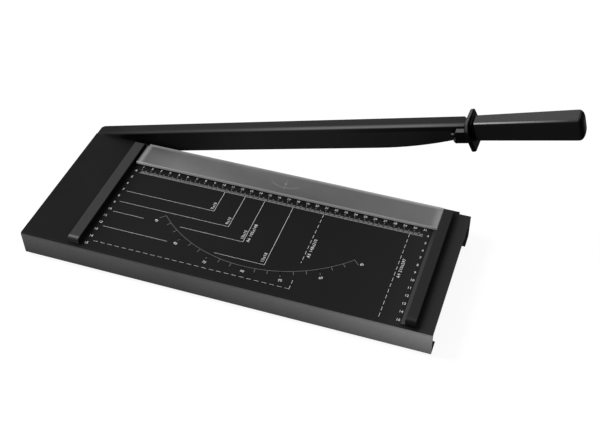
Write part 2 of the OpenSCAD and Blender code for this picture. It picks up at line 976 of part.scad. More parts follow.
module grip_screw() {
    seat_z = grip_bottom(grip_screw_x) + grip_screw_sink - seat;
    color(zinc)
        on_lever()
            translate([grip_screw_x, (tang_y0 + tang_y1) / 2, seat_z])
                pan_screw(grip_screw_d, grip_screw_head_d, grip_screw_head_h,
                          tang_z - tang_h / 2 + grip_screw_bite - seat_z);
}

// Nose that comes down on the rear corner of the table and stops the lever;
// its right end follows the hand guard, and its left end has a sloped lead
module stop_nose() {
    e = nose_edge;
    color(flat_black)
        on_lever()
            difference() {
                union() {
                    along_x(nose_x0, shield_x + shield_t)
                        polygon([[-nose_out + e, -nose_low], [-seat, -nose_low],
                                 [-seat, nose_top], [-nose_out + e, nose_top],
                                 [-nose_out, nose_top - e], [-nose_out, -nose_low + e]]);
                    along_y(-nose_out + e, -seat)
                        polygon([[nose_x0 + e, -nose_low], [nose_x0, -nose_low],
                                 [nose_x0 - nose_lead, nose_lead_h - nose_low],
                                 [nose_x0 + e, nose_lead_h - nose_low]]);
                    along_x(nose_x0, arm_l)
                        translate([-fit, -nose_low])
                            square([nose_y1 + fit, blade_top - seat + nose_low]);
                }
                on_shield()
                    translate([-loose, -shield_w, -shield_h])
                        cube([2 * shield_t, 2 * shield_w, 2 * shield_h]);
                pin_x(nose_screw_y, nose_screw_z, nose_screw_d + 2 * seat,
                      nose_x0 - cut, nose_screw_x1);
            }
}

// Cap screw that ties the nose to the hand guard
module nose_screw() {
    head_x = nose_x0 - seat - nose_screw_head_h;
    color(black_steel)
        on_lever()
            union() {
                pin_x(nose_screw_y, nose_screw_z, nose_screw_head_d,
                      head_x, nose_x0 - seat);
                pin_x(nose_screw_y, nose_screw_z, nose_screw_d,
                      nose_x0 - 2 * seat, nose_screw_x1);
            }
}

base_plate();
counter_knife();
counter_knife_screws();
left_rail();
right_rail();
rail_screws();
finger_guard();
guard_screws();
foot(foot_xs[0], -foot_y);  // foot_front_left
foot(foot_xs[1], -foot_y);  // foot_front_right
foot(foot_xs[0], foot_y);  // foot_rear_left
foot(foot_xs[1], foot_y);  // foot_rear_right
pivot_plate();
pivot_bolt();
washer(outer_washer_y);  // outer_washer
washer(inner_washer_y);  // inner_washer
spring_washer();
pivot_nut();
arm_bar();
blade();
blade_screws();
pivot_bush();
handle_tang();
tang_screws();
hand_guard();
handle_grip();
grip_screw();
stop_nose();
nose_screw();
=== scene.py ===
# %% [markdown]
# # A desk paper cutter, dressed for its picture
# The cutter is a folded steel table with a knife along its rear edge, and a
# long lever with a curved blade. Its shapes come from a CAD model in metres.
# This lesson sets up the camera, gives every piece its finish, prints the
# scales on the table, and ends with the floor, the world and the lamps.

# %% Load the CAD model
import math

import bmesh
import bpy
from mathutils import Matrix, Vector


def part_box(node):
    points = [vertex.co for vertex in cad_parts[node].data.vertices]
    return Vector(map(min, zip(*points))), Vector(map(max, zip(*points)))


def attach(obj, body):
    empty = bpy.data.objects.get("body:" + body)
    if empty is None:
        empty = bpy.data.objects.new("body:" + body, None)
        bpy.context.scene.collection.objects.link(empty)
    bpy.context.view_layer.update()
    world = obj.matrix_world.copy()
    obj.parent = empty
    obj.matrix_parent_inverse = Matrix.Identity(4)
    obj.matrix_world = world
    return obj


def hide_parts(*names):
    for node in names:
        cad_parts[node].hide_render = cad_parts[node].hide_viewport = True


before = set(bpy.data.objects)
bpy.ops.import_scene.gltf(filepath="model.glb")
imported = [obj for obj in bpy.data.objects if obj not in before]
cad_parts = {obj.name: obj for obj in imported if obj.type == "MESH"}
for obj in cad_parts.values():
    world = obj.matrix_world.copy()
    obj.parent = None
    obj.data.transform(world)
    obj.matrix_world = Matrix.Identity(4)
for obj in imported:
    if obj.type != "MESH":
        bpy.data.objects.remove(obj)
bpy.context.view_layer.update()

# %% [markdown]
# ## The camera
# The picture was taken from the front right, about 43 degrees above the
# table. The printed ruler gives the camera's place: thirty-one numbers at
# true centimetres fix where it stood, how it was turned and its lens, so
# these values are used as they are and nothing is shifted by hand.

# %% Camera
SENSOR_MM = 36.0
FOCAL_PIXELS, PICTURE_PIXELS = 1008.25, 600
eye = Vector((0.29009, -0.64468, 0.71772))
right = Vector((0.94508, 0.32642, -0.01658))
down = Vector((0.21393, -0.65614, -0.72368))
ahead = Vector((-0.24711, 0.68039, -0.68993))
camera_data = bpy.data.cameras.new("photo_camera")
camera_data.sensor_fit = "HORIZONTAL"
camera_data.sensor_width = SENSOR_MM
camera_data.lens = SENSOR_MM * FOCAL_PIXELS / PICTURE_PIXELS
camera = bpy.data.objects.new("photo_camera", camera_data)
bpy.context.scene.collection.objects.link(camera)
turn = Matrix((right, -down, -ahead)).transposed().to_4x4()
camera.matrix_world = Matrix.Translation(eye) @ turn
bpy.context.scene.camera = camera
print("lens", round(camera_data.lens, 2), "mm at", tuple(round(v, 3) for v in eye))

# %% [markdown]
# ## Helpers for finishes
# Every finish starts from one Principled shader. A fine noise on Object
# coordinates varies the colour and lifts a small bump, so paint and plastic
# don't look like flat colour, and a broad noise varies the roughness like the
# marks of handling. Numbers that are the same all over are set on the shader.

# %% Values in a node tree
FRONT, RIGHT, UP = (0, -1, 0), (1, 0, 0), (0, 0, 1)
NOISE_LOW, NOISE_HIGH = 0.35, 0.65


def wire(tree, source, target):
    tree.links.new(source, target)


def add(tree, kind, **settings):
    node = tree.nodes.new(kind)
    for name, value in settings.items():
        setattr(node, name, value)
    return node


def start_finish(name):
    finish = bpy.data.materials.new(name)
    finish.use_nodes = True
    tree = finish.node_tree
    shader = tree.nodes["Principled BSDF"]
    place = add(tree, "ShaderNodeTexCoord")
    return finish, tree, shader, place.outputs["Object"], place.outputs["Normal"]


def axes(tree, place):
    """X, Y and Z of a place, each as a value of its own."""
    split = add(tree, "ShaderNodeSeparateXYZ")
    wire(tree, place, split.inputs[0])
    return split.outputs["X"], split.outputs["Y"], split.outputs["Z"]


def ramp(tree, value, low, high, out_low, out_high):
    node = add(tree, "ShaderNodeMapRange", clamp=True)
    node.inputs["From Min"].default_value = low
    node.inputs["From Max"].default_value = high
    node.inputs["To Min"].default_value = out_low
    node.inputs["To Max"].default_value = out_high
    wire(tree, value, node.inputs["Value"])
    return node.outputs["Result"]


def noise(tree, place, size, detail=2.0):
    node = add(tree, "ShaderNodeTexNoise")
    node.inputs["Scale"].default_value = 1.0 / size
    node.inputs["Detail"].default_value = detail
    wire(tree, place, node.inputs["Vector"])
    return node.outputs["Fac"]


def math_node(tree, operation, first, second=None):
    node = add(tree, "ShaderNodeMath", operation=operation)
    for i, value in enumerate((first, second)):
        if value is None:
            continue
        if isinstance(value, (int, float)):
            node.inputs[i].default_value = value
        else:
            wire(tree, value, node.inputs[i])
    return node.outputs[0]


print("value helpers ready")


# %% Where on a piece
def facing(tree, normal, direction):
    """How far the surface faces a direction, from -1 to 1."""
    node = add(tree, "ShaderNodeVectorMath", operation="DOT_PRODUCT")
    node.inputs[1].default_value = direction
    wire(tree, normal, node.inputs[0])
    return node.outputs["Value"]


def turned_to(tree, normal, direction, none, full):
    """1 on the sides that face a direction, 0 on the others."""
    return ramp(tree, facing(tree, normal, direction), none, full, 0.0, 1.0)


def within(tree, value, middle, half):
    """1 where a value lies within half of the middle, with a soft end."""
    away = math_node(tree, "ABSOLUTE", math_node(tree, "SUBTRACT", value, middle))
    return ramp(tree, away, half, half + 0.0004, 1.0, 0.0)


def away_from(tree, place, point):
    """Distance from an upright line through a point."""
    node = add(tree, "ShaderNodeVectorMath", operation="MULTIPLY")
    node.inputs[1].default_value = (1.0, 1.0, 0.0)
    wire(tree, place, node.inputs[0])
    distance = add(tree, "ShaderNodeVectorMath", operation="DISTANCE")
    wire(tree, node.outputs[0], distance.inputs[0])
    distance.inputs[1].default_value = point
    return distance.outputs["Value"]


print("place helpers ready")


# %% Tones
def grey(level):
    """A neutral colour from its screen level, 0 to 255, in linear light."""
    share = level / 255
    linear = share / 12.92 if share <= 0.04045 else ((share + 0.055) / 1.055) ** 2.4
    return (linear, linear, linear)


def mix(tree, share, first, second):
    node = add(tree, "ShaderNodeMix", data_type="RGBA")
    for value, name in ((first, "A"), (second, "B")):
        socket = [s for s in node.inputs if s.name == name and s.type == "RGBA"][0]
        if isinstance(value, tuple):
            socket.default_value = (*value, 1.0)
        else:
            wire(tree, value, socket)
    wire(tree, share, node.inputs["Factor"])
    return [s for s in node.outputs if s.type == "RGBA"][0]


def shades_along(tree, value, stops):
    """A grey that follows a value through a few stops of (place, screen level)."""
    first, last = stops[0][0], stops[-1][0]
    node = add(tree, "ShaderNodeValToRGB")
    wire(tree, ramp(tree, value, first, last, 0.0, 1.0), node.inputs["Fac"])
    band = node.color_ramp.elements
    for spot, level in stops:
        share = (spot - first) / (last - first)
        ends = {0.0: band[0], 1.0: band[-1]}
        stop = ends[share] if share in ends else band.new(share)
        stop.color = (*grey(level), 1.0)
    return node.outputs["Color"]


def scaled(tree, tone, factor):
    """A tone made stronger or weaker by a number or by a value."""
    node = add(tree, "ShaderNodeVectorMath", operation="SCALE")
    wire(tree, tone, node.inputs[0])
    if isinstance(factor, float):
        node.inputs["Scale"].default_value = factor
    else:
        wire(tree, factor, node.inputs["Scale"])
    return node.outputs[0]


def grained(tree, tone, place, size, spread):
    """A tone made a little darker and lighter by a fine noise."""
    grain = ramp(tree, noise(tree, place, size), NOISE_LOW, NOISE_HIGH,
                 1.0 - spread, 1.0 + spread)
    return scaled(tree, tone, grain)


def speckle(tree, place, size, dark, light):
    """Two close shades mixed by a fine noise."""
    share = ramp(tree, noise(tree, place, size), NOISE_LOW, NOISE_HIGH, 0.0, 1.0)
    return mix(tree, share, dark, light)


print("tone helpers ready")


# %% Surfaces
def grain_bump(tree, shader, place, size, height, strength=1.0):
    bump = add(tree, "ShaderNodeBump")
    bump.inputs["Strength"].default_value = strength
    bump.inputs["Distance"].default_value = height
    wire(tree, noise(tree, place, size), bump.inputs["Height"])
    wire(tree, bump.outputs["Normal"], shader.inputs["Normal"])


def worn_roughness(tree, shader, place, low, high):
    wear = noise(tree, place, 0.035, 4.0)
    wire(tree, ramp(tree, wear, NOISE_LOW, NOISE_HIGH, low, high), shader.inputs["Roughness"])


def surface(tree, shader, place, gloss, roughness, grain, height, strength=1.0):
    """Gloss, worn roughness and a grain of the given size and height."""
    shader.inputs["Specular IOR Level"].default_value = gloss
    worn_roughness(tree, shader, place, *roughness)
    grain_bump(tree, shader, place, grain, height, strength)


def dress(finish, *nodes):
    for name in nodes:
        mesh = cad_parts[name].data
        mesh.materials.clear()
        mesh.materials.append(finish)


print("surface helpers ready")

# %% [markdown]
# ## The table's paint
# The table is folded steel with a black powder coat. Powder coat is matt with
# an orange-peel grain about half a millimetre wide. Its colour also carries
# painted light and shade. The front flange is painted greyer than the top, as
# if lit from the front, paler to the right and upwards and darker along its
# top bend. The paint reads the place on the table to know where the flange is.
# The top is painted paler and darker across its width, paler towards the right
# end, and beside each rail a narrow strip is painted nearly black as the
# rail's shadow.

# %% Table paint
FRONT_Y = -0.079
left_rail_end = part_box("left_rail")[1].x
right_rail_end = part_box("right_rail")[1].x
table_paint, tree, shader, place, normal = start_finish("table_powder_coat")
x, y, z = axes(tree, place)
# Painted shade: a near black strip beside each rail as its shadow, and the top painted paler
# and darker across its width as the light falls.
top_paint_and_shade = shades_along(tree, x, (
    (-0.2055, 13.5), (-0.154, 15.5),
    (left_rail_end - 0.0005, 5), (left_rail_end + 0.0015, 7), (left_rail_end + 0.0035, 16.5),
    (-0.06, 20), (0.04, 18.5), (0.10, 20), (0.15, 23.5), (0.17, 31),
    (right_rail_end - 0.0005, 5), (right_rail_end + 0.0022, 7), (right_rail_end + 0.0045, 34),
    (0.2055, 40)))
# Painted light: the flange is greyer than the top and paler to the right, as if lit from the
# front right.
flange_painted_light = shades_along(tree, x, (
    (-0.2055, 100), (-0.04, 96), (0.10, 120), (0.15, 138), (0.2055, 158)))
# Painted light and shade: the flange is paler upwards and darker along its top bend.
painted_light_by_height = math_node(tree, "MULTIPLY", ramp(tree, z, 0.005, 0.026, 0.64, 1.28),
                     ramp(tree, z, 0.0265, 0.0290, 1.0, 0.6))
on_flange = math_node(tree, "MULTIPLY", turned_to(tree, normal, FRONT, 0.55, 0.9),
                      ramp(tree, y, FRONT_Y + 0.0006, FRONT_Y + 0.0001, 0.0, 1.0))
tone = mix(tree, on_flange, top_paint_and_shade, scaled(tree, flange_painted_light, painted_light_by_height))
wire(tree, grained(tree, tone, place, 0.0006, 0.12), shader.inputs["Base Color"])
surface(tree, shader, place, 0.07, (0.55, 0.65), 0.0006, 0.00002, 0.5)
dress(table_paint, "base_plate")
print("table painted, rails end at x", round(left_rail_end, 4), round(right_rail_end, 4))

# %% [markdown]
# ## The rails
# The left rail is a moulded strip in a lighter grey than the table. The right
# rail is darker, and its low ledge is painted lighter, as light from the left
# would show it. Both have the fine, even texture of moulded plastic, and a
# painted highlight across the front end. The right faces of both rails and the
# front of the right rail are painted near black as shade.

# %% Left rail
left_plastic, tree, shader, place, normal = start_finish("left_rail_plastic")
y = axes(tree, place)[1]
# Painted highlight along the top edge of the front end.
left_rail_tone_and_highlight = shades_along(tree, y, (
    (-0.0757, 42), (-0.0752, 48), (-0.0745, 72), (-0.0738, 108), (-0.0728, 100),
    (-0.0712, 52), (0.075, 52)))
# Painted shade: the right face is near black.
tone = mix(tree, turned_to(tree, normal, RIGHT, 0.5, 0.9), left_rail_tone_and_highlight, grey(6))
wire(tree, grained(tree, tone, place, 0.0008, 0.06), shader.inputs["Base Color"])
surface(tree, shader, place, 0.07, (0.55, 0.65), 0.0004, 0.00001)
dress(left_plastic, "left_rail")
print("left rail finished")

# %% Right rail
LEDGE_END = 0.1791
right_plastic, tree, shader, place, normal = start_finish("right_rail_plastic")
x, y, z = axes(tree, place)
on_ledge = ramp(tree, x, LEDGE_END - 0.0001, LEDGE_END + 0.0001, 1.0, 0.0)
# Painted shade on the front end, with a painted highlight along its top edge.
body_tone_and_shade = shades_along(tree, y, (
    (-0.0757, 6), (-0.0748, 14), (-0.0735, 38), (-0.0724, 46), (-0.0700, 36), (0.075, 35)))
# Painted light: the ledge is lighter, paler towards the front.
ledge_painted_light = shades_along(tree, y, ((-0.075, 66), (0.02, 62), (0.06, 40)))
tone = mix(tree, on_ledge, grained(tree, body_tone_and_shade, place, 0.0008, 0.08), ledge_painted_light)
# Painted shade: the front and right faces are near black.
for side in (FRONT, RIGHT):
    tone = mix(tree, turned_to(tree, normal, side, 0.8, 0.95), tone, grey(4))
wire(tree, tone, shader.inputs["Base Color"])
surface(tree, shader, place, 0.07, (0.55, 0.65), 0.0004, 0.00001)
dress(right_plastic, "right_rail")
print("right rail finished")

# %% [markdown]
# ## The clear finger guard
# The guard is clear acrylic. Over the black table it looks grey, because both
# of its faces reflect the pale room; that grey is painted into its colour as
# painted reflection, paler and darker along its length and darker at its left
# end. Its saw-cut edges scatter light and look nearly white, so close to an
# edge the clear shader gives way to a frosted one, whose grey and strength are
# painted paler and darker along the guard as painted light.
# A small arc with a dot is printed under the guard. It shows through only as a
# slightly paler line, so the guard's own tone carries it, where it is seen.

# %% Finger guard
low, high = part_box("finger_guard")
acrylic, tree, shader, place, normal = start_finish("clear_acrylic")
x, y, z = axes(tree, place)
# Painted reflection: the guard's grey, paler and darker along its length and darker at its left
# end.
tint_and_painted_reflection = shades_along(tree, x, (
    (low.x, 44), (low.x + 0.0008, 52), (low.x + 0.0016, 104), (-0.125, 114), (-0.10, 137),
    (-0.06, 138), (-0.02, 128), (0.03, 116), (0.08, 112), (0.12, 119), (0.16, 123),
    (0.18, 131)))
for name, value in (("Transmission Weight", 0.5), ("Specular IOR Level", 0.2),
                    ("Roughness", 0.3), ("IOR", 1.49)):
    shader.inputs[name].default_value = value
print("guard from", [round(v, 4) for v in low], "to", [round(v, 4) for v in high])

# %% The arc seen through the guard
GHOST_X, GHOST_Y, GHOST_R = 0.0188, 0.0802, 0.0231
GHOST_DOT = (0.0186, 0.0627, 0)
GHOST_LIGHT, LINE_SHARE = 2.4, 0.6
round_line = within(tree, away_from(tree, place, (GHOST_X, GHOST_Y, 0)), GHOST_R, 0.0004)
ghost_arc = math_node(tree, "MULTIPLY", round_line, ramp(tree, y, 0.0600, 0.0640, 1.0, 0.0))
ghost_tick = math_node(tree, "MULTIPLY", within(tree, x, GHOST_X, 0.0001),
                       within(tree, y, 0.0610, 0.0070))
ghost_dot = ramp(tree, away_from(tree, place, GHOST_DOT), 0.0009, 0.0015, 1.0, 0.0)
ghost_lines = math_node(tree, "MULTIPLY",
                        math_node(tree, "MAXIMUM", ghost_arc, ghost_tick), LINE_SHARE)
ghost = math_node(tree, "MAXIMUM", ghost_dot, ghost_lines)
tint_and_painted_reflection = mix(tree, ghost, tint_and_painted_reflection, scaled(tree, tint_and_painted_reflection, GHOST_LIGHT))
wire(tree, grained(tree, tint_and_painted_reflection, place, 0.02, 0.03), shader.inputs["Base Color"])
print("arc centre", (GHOST_X, GHOST_Y), "radius", GHOST_R)

# %% Frosted edges of the guard
EDGE = 0.0003
near_front = ramp(tree, y, low.y + EDGE, low.y + 2.5 * EDGE, 1.0, 0.0)
# Painted light: the frosted rear edge shows more towards the right.
near_back = math_node(tree, "MULTIPLY",
                      ramp(tree, y, high.y - 0.0045, high.y - 0.0010, 0.0, 1.0),
                      ramp(tree, x, -0.06, 0.15, 0.4, 0.95))
near_left = math_node(tree, "MULTIPLY",
                      ramp(tree, x, low.x + 0.0008, low.x + 0.0028, 0.0, 0.28),
                      ramp(tree, x, low.x + 0.0040, low.x + 0.0075, 1.0, 0.0))
near_right = ramp(tree, x, high.x - 0.0080, high.x - 0.0015, 0.0, 0.4)
cut_edge = math_node(tree, "MAXIMUM", math_node(tree, "MAXIMUM", near_front, near_back),
                     math_node(tree, "MAXIMUM", near_left, near_right))
frosted = add(tree, "ShaderNodeBsdfPrincipled")
# Painted light: the frosted edges are paler at the left and right ends.
wire(tree, shades_along(tree, x, ((-0.143, 200), (-0.12, 178), (0.0, 160), (0.18, 172))),
     frosted.inputs["Base Color"])
frosted.inputs["Roughness"].default_value = 0.6
frosted.inputs["Specular IOR Level"].default_value = 0.3
blend = add(tree, "ShaderNodeMixShader")
wire(tree, cut_edge, blend.inputs[0])
wire(tree, shader.outputs[0], blend.inputs[1])
wire(tree, frosted.outputs[0], blend.inputs[2])
wire(tree, blend.outputs[0], tree.nodes["Material Output"].inputs["Surface"])
dress(acrylic, "finger_guard")
print("guard finished")

# %% [markdown]
# ## The lever and its blade
# The lever bar is painted black with a little more gloss than the table. Its
# colour carries painted light: a painted highlight along the front upper edge,
# a top painted paler than its sides, and painted light and shade along its
# length, darker towards its ends. The blade is blackened steel with fine
# grinding lines along its length, its colour painted lighter in the middle and
# darker towards both ends. The lever stands raised, so its own up direction is
# tilted, and the paint uses that direction.

# %% Lever directions and paint
RAISED = math.radians(15.45)
LEVER_FRONT = 0.08165
lever_up = (-math.sin(RAISED), 0.0, math.cos(RAISED))
lever_along = (math.cos(RAISED), 0.0, math.sin(RAISED))

lever_paint, tree, shader, place, normal = start_finish("lever_paint")
x, y, z = axes(tree, place)
# Painted light and shade: the sides are lighter in the middle and darker towards both ends,
# with a dark patch near the pivot.
lever_side_painted_shading = shades_along(tree, x, (
    (-0.188, 36), (-0.180, 30), (-0.170, 10), (-0.150, 9), (-0.084, 29), (-0.026, 42),
    (0.06, 40), (0.09, 30), (0.12, 20), (0.17, 10)))
# Painted shading: the top is darker towards the pivot end.
lever_top_painted_shading = shades_along(tree, x, (
    (-0.19, 16), (-0.16, 26), (-0.10, 31), (-0.03, 38), (0.10, 38), (0.15, 37), (0.19, 35)))
# Painted highlight along the front upper edge, brightest in the right half.
lever_edge_highlight = shades_along(tree, x, (
    (-0.19, 26), (-0.15, 42), (-0.10, 53), (-0.04, 70), (0.01, 88), (0.03, 97), (0.15, 97),
    (0.19, 78)))
lever_highlight_strip = math_node(tree, "MULTIPLY",
                   ramp(tree, y, LEVER_FRONT - 0.0001, LEVER_FRONT + 0.0007, 0.0, 1.0),
                   ramp(tree, y, LEVER_FRONT + 0.0018, LEVER_FRONT + 0.0050, 1.0, 0.0))
# Painted light: the top is paler than the sides.
tone = mix(tree, turned_to(tree, normal, lever_up, 0.15, 0.55), lever_side_painted_shading,
           mix(tree, lever_highlight_strip, lever_top_painted_shading, lever_edge_highlight))
wire(tree, grained(tree, tone, place, 0.0006, 0.1), shader.inputs["Base Color"])
surface(tree, shader, place, 0.04, (0.45, 0.55), 0.0006, 0.00001)
dress(lever_paint, "arm_bar")
print("lever painted, raised", round(math.degrees(RAISED), 2), "degrees")


# %% Blackened steel of the two knives
def ground_steel(name, tilt, tone_of):
    """Dark steel with fine grinding lines along its length."""
    finish, tree, shader, place, normal = start_finish(name)
    lines = add(tree, "ShaderNodeMapping")
    lines.inputs["Rotation"].default_value = (0.0, tilt, 0.0)
    lines.inputs["Scale"].default_value = (1.0, 40.0, 40.0)
    wire(tree, place, lines.inputs["Vector"])
    streak = noise(tree, lines.outputs[0], 0.02, 3.0)
    tone = tone_of(tree, place, normal)
    wire(tree, mix(tree, ramp(tree, streak, NOISE_LOW, NOISE_HIGH, 0.0, 1.0),
                   grained(tree, tone, place, 0.002, 0.04),
                   grained(tree, tone, place, 0.0008, 0.16)), shader.inputs["Base Color"])
    shader.inputs["Specular IOR Level"].default_value = 0.08
    wire(tree, ramp(tree, streak, 0.3, 0.7, 0.45, 0.56), shader.inputs["Roughness"])
    bump = add(tree, "ShaderNodeBump")
    bump.inputs["Strength"].default_value = 0.2
    bump.inputs["Distance"].default_value = 0.00001
    wire(tree, streak, bump.inputs["Height"])
    wire(tree, bump.outputs["Normal"], shader.inputs["Normal"])
    return finish


# Painted light and shade: the blade is lighter in the middle and darker towards both ends.
def blade_tone(tree, place, normal):
    return shades_along(tree, axes(tree, place)[0], (
        (-0.150, 7), (-0.113, 15), (-0.084, 24), (-0.055, 35), (-0.026, 40), (0.03, 39),
        (0.06, 37), (0.10, 31), (0.14, 25), (0.165, 11)))


# The knife's top follows the table's painted shading across its width.
def knife_tone(tree, place, normal):
    knife_top_painted_shading = shades_along(tree, axes(tree, place)[0], (
        (-0.2055, 13.5), (-0.06, 19), (0.04, 17.5), (0.2, 24)))
    return mix(tree, turned_to(tree, normal, UP, 0.4, 0.8), grey(20), knife_top_painted_shading)


dress(ground_steel("blade_steel", RAISED, blade_tone), "blade")
dress(ground_steel("knife_steel", 0.0, knife_tone), "counter_knife")
print("knives finished")

# %% [markdown]
# ## Handle plastic
# The grip, hand guard and stop nose are black plastic, with painted light in
# their colour. The grip's upper face is painted greyer as lit from the top, the
# ridge at its front edge carries a painted highlight, the palest line, the sides
# stay black, and the end towards the tip is painted black as shade.


# %% Grip
def edge_wear(tree, normal, low, high):
    """1 on the rounded edge between the upper and the front face."""
    up = math_node(tree, "MAXIMUM", facing(tree, normal, lever_up), 0.0)
    front = math_node(tree, "MAXIMUM", facing(tree, normal, FRONT), 0.0)
    return ramp(tree, math_node(tree, "MULTIPLY", up, front), low, high, 0.0, 1.0)


grip_plastic, tree, shader, place, normal = start_finish("grip_plastic")
# Painted light: the upper face is greyer than the sides.
tone = mix(tree, turned_to(tree, normal, lever_up, 0.3, 0.9), grey(27), grey(68))
# Painted highlight along the ridge, fading towards the tip.
ridge_highlight = shades_along(tree, axes(tree, place)[0], (
    (0.196, 180), (0.205, 172), (0.235, 145), (0.26, 108), (0.28, 62)))
tone = mix(tree, edge_wear(tree, normal, 0.36, 0.5), tone, ridge_highlight)
# Painted shade: the end towards the tip is near black.
tone = mix(tree, turned_to(tree, normal, lever_along, 0.15, 0.6), tone, grey(2))
wire(tree, grained(tree, tone, place, 0.0008, 0.12), shader.inputs["Base Color"])
surface(tree, shader, place, 0.01, (0.4, 0.5), 0.0005, 0.00001)
dress(grip_plastic, "handle_grip")
print("grip finished")


# %% Hand guard and nose plastic
def moulded_plastic(name, upper_painted_light, rim_highlight):
    """Black plastic painted paler where it faces up, with a painted highlight on its rim, and
    painted black as shade towards the grip.
    """
    finish, tree, shader, place, normal = start_finish(name)
    # Painted light: paler where it faces up.
    tone = mix(tree, turned_to(tree, normal, lever_up, 0.72, 0.97), grey(11),
               grey(upper_painted_light))
    # Painted highlight on the front upper rim.
    tone = mix(tree, edge_wear(tree, normal, 0.40, 0.5), tone, grey(rim_highlight))
    # Painted shade: near black on the faces towards the grip.
    tone = mix(tree, turned_to(tree, normal, lever_along, 0.1, 0.4), tone, grey(1))
    wire(tree, grained(tree, tone, place, 0.0008, 0.12), shader.inputs["Base Color"])
    surface(tree, shader, place, 0.012, (0.4, 0.5), 0.0005, 0.00001)
    return finish


guard_plastic = moulded_plastic("hand_guard_plastic", 76, 60)
nose_plastic = moulded_plastic("nose_plastic", 88, 60)
# Painted shade: the hub between the plate and the grip is dark all over.
hub_painted_shade = moulded_plastic("hub_painted_shade", 14, 14)
dress(guard_plastic, "hand_guard")
dress(nose_plastic, "stop_nose")
print("hand guard and nose finished")

# %% [markdown]
# ## The moulded hand guard, nose and stop screw
# The CAD solids of the hand guard and the nose have plain broken edges. On the
# real piece the plate is moulded, with soft round rims and one well rounded
# corner in front. The nose is a little taller with a sloping left face, and
# the screw in it sits higher. A plate like this could be a beveled cube, but
# here it is built as rings: each ring is the outline, pulled in a little and
# moved through the thickness, so the rim comes out round and every corner has
# its own radius. The new pieces stand where the CAD solids are and take their
# place in the picture. Their sizes are in millimetres along the lever.

# %% Rings into a closed mesh
PIVOT = Vector((-0.1875, LEVER_FRONT, 0.019))
on_lever = Matrix.Translation(PIVOT) @ Matrix.Rotation(-RAISED, 4, "Y") @ Matrix.Scale(0.001, 4)


def ring_mesh(rings):
    """Rings of points joined by faces, with both ends closed."""
    mesh = bmesh.new()
    loops = [[mesh.verts.new(point) for point in ring] for ring in rings]
    for near, far in zip(loops, loops[1:]):
        for i in range(len(near)):
            j = (i + 1) % len(near)
            mesh.faces.new((near[i], near[j], far[j], far[i]))
    mesh.faces.new(loops[0][::-1])
    mesh.faces.new(loops[-1])
    bmesh.ops.recalc_face_normals(mesh, faces=mesh.faces)
    return mesh


def make_piece(name, mesh, finish):
    """A finished mesh as a piece of the picture."""
    data = bpy.data.meshes.new(name)
    mesh.to_mesh(data)
    mesh.free()
    data.materials.append(finish)
    piece = bpy.data.objects.new(name, data)
    bpy.context.scene.collection.objects.link(piece)
    return piece


def closed_rings(name, rings, place, finish):
    """A piece from rings, smooth round its sides and flat at both ends."""
    placed = [[place @ Vector(point) for point in ring] for ring in rings]
    piece = make_piece(name, ring_mesh(placed), finish)
    for face in piece.data.polygons:
        face.use_smooth = len(face.vertices) == 4
    return piece


def bevelled_prism(name, outline, y0, y1, radius, place, finish):
    """A side view given a width, with its edges rounded."""
    mesh = ring_mesh([[(x, y, z) for x, z in outline] for y in (y0, y1)])
    bmesh.ops.bevel(mesh, geom=mesh.edges[:], offset=radius, segments=3, profile=0.5,
                    affect="EDGES")
    mesh.transform(place)
    return make_piece(name, mesh, finish)


def rounded_outline(width, height, radii, inset, steps=8):
    """Outline of a plate, one radius for each corner, pulled in by inset."""
    points = []
    corners = ((1, 1), (-1, 1), (-1, -1), (1, -1))
    for i, ((side, up), radius) in enumerate(zip(corners, radii)):
        r = max(radius - inset, 0.05)
        middle = (side * (width / 2 - inset - r), up * (height / 2 - inset - r))
        for k in range(steps + 1):
            angle = math.radians(90 * i + 90 * k / steps)
            points.append((middle[0] + r * math.cos(angle), middle[1] + r * math.sin(angle)))
    return points


print("pivot of the lever at", tuple(round(v, 4) for v in PIVOT))

# %% Hand guard plate
PLATE_W, PLATE_H, PLATE_T, RIM = 32.4, 28.2, 4.4, 1.3
CORNERS = (2.6, 11.8, 2.6, 2.6)
RIM_STEPS = 4
PLATE_AT = (396.05, 7.5, 2.72)
PLATE_LEAN, PLATE_SWING = math.radians(-11.0), math.radians(-2.8)
rings = []
for side in (0, 1):
    for k in range(RIM_STEPS + 1):
        angle = math.radians(90 * (k if side == 0 else RIM_STEPS - k) / RIM_STEPS)
        inset = RIM * (1 - math.sin(angle))
        depth = RIM * (1 - math.cos(angle))
        x = depth if side == 0 else PLATE_T - depth
        outline = rounded_outline(PLATE_W, PLATE_H, CORNERS, inset)
        rings.append([(x, y, z) for y, z in outline])
lean = (Matrix.Translation(PLATE_AT) @ Matrix.Rotation(PLATE_LEAN, 4, "Y")
        @ Matrix.Rotation(PLATE_SWING, 4, "Z"))
hand_plate = closed_rings("hand_guard_plate", rings, on_lever @ lean, guard_plastic)
print("plate", PLATE_W, "x", PLATE_H, "x", PLATE_T, "mm in", len(rings), "rings")

# %% Hub between the plate and the grip
HUB_W, HUB_H, HUB_CORNER = 13.5, 18.8, 2.0
HUB_FROM, HUB_TO, HUB_Y, HUB_Z = 396.5, 402.05, 6.95, 6.2
outline = rounded_outline(HUB_W, HUB_H, (HUB_CORNER,) * 4, 0.0)
hub_rings = [[(x, y + HUB_Y, z + HUB_Z) for y, z in outline] for x in (HUB_FROM, HUB_TO)]
hub = closed_rings("hand_guard_hub", hub_rings, on_lever, hub_painted_shade)
print("hub", HUB_W, "x", HUB_H, "mm")

